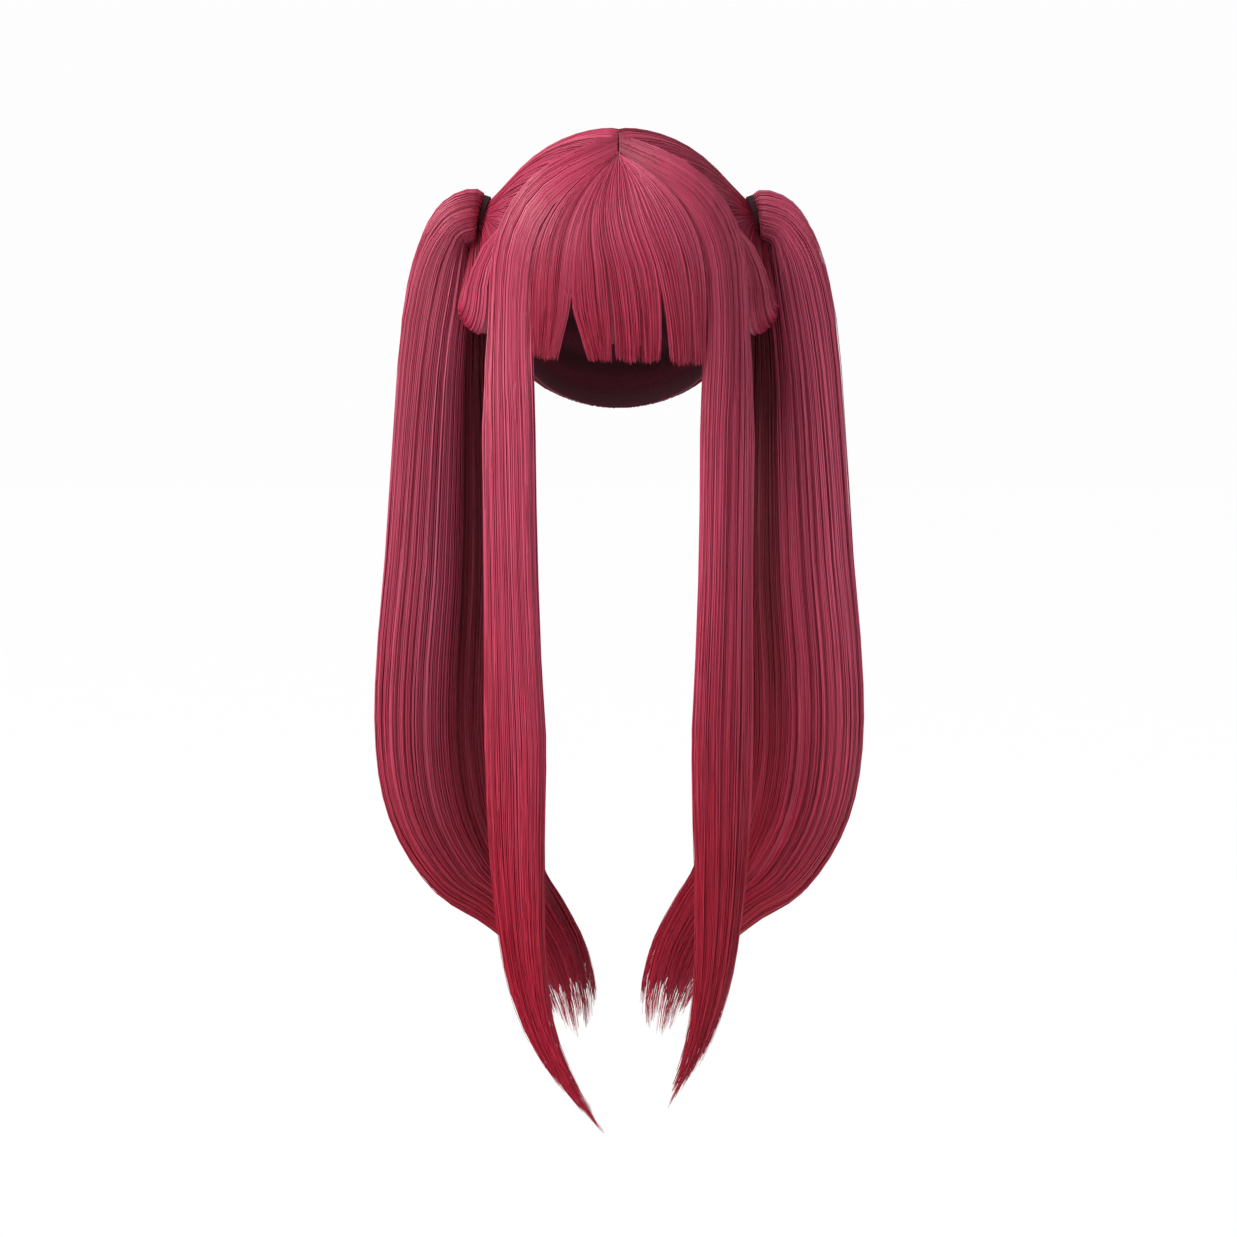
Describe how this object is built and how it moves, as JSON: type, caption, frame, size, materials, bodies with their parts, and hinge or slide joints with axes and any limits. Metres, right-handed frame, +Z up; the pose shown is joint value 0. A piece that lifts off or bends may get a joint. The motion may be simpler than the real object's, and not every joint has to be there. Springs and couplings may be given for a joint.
{
  "type": "wig",
  "caption": "Long straight wig with a blunt fringe, long face-framing locks, drooping hair loops and high side tails on an open cap.",
  "frame": {"origin": "crown point: where the top of the head meets the inside of the cap", "axes": "+Z up, the face looks towards -Y, the wearer's left is +X"},
  "size_m": [0.312, 0.2197, 0.6218],
  "materials": {
    "hair": "raspberry red synthetic hair with a soft satin shine",
    "cap_net": "dark red weft cap, matt",
    "elastic": "dark wound elastic, matt"
  },
  "bodies": {
    "root": {"cap": "cap_net", "crown_hair": "hair", "fringe": "hair", "side_lock_left": "hair", "side_lock_right": "hair", "hair_loop_left": "hair", "hair_loop_right": "hair", "hair_tie_left": "elastic", "hair_tie_right": "elastic", "pigtail_left": "hair", "pigtail_right": "hair"}
  },
  "joints": []
}
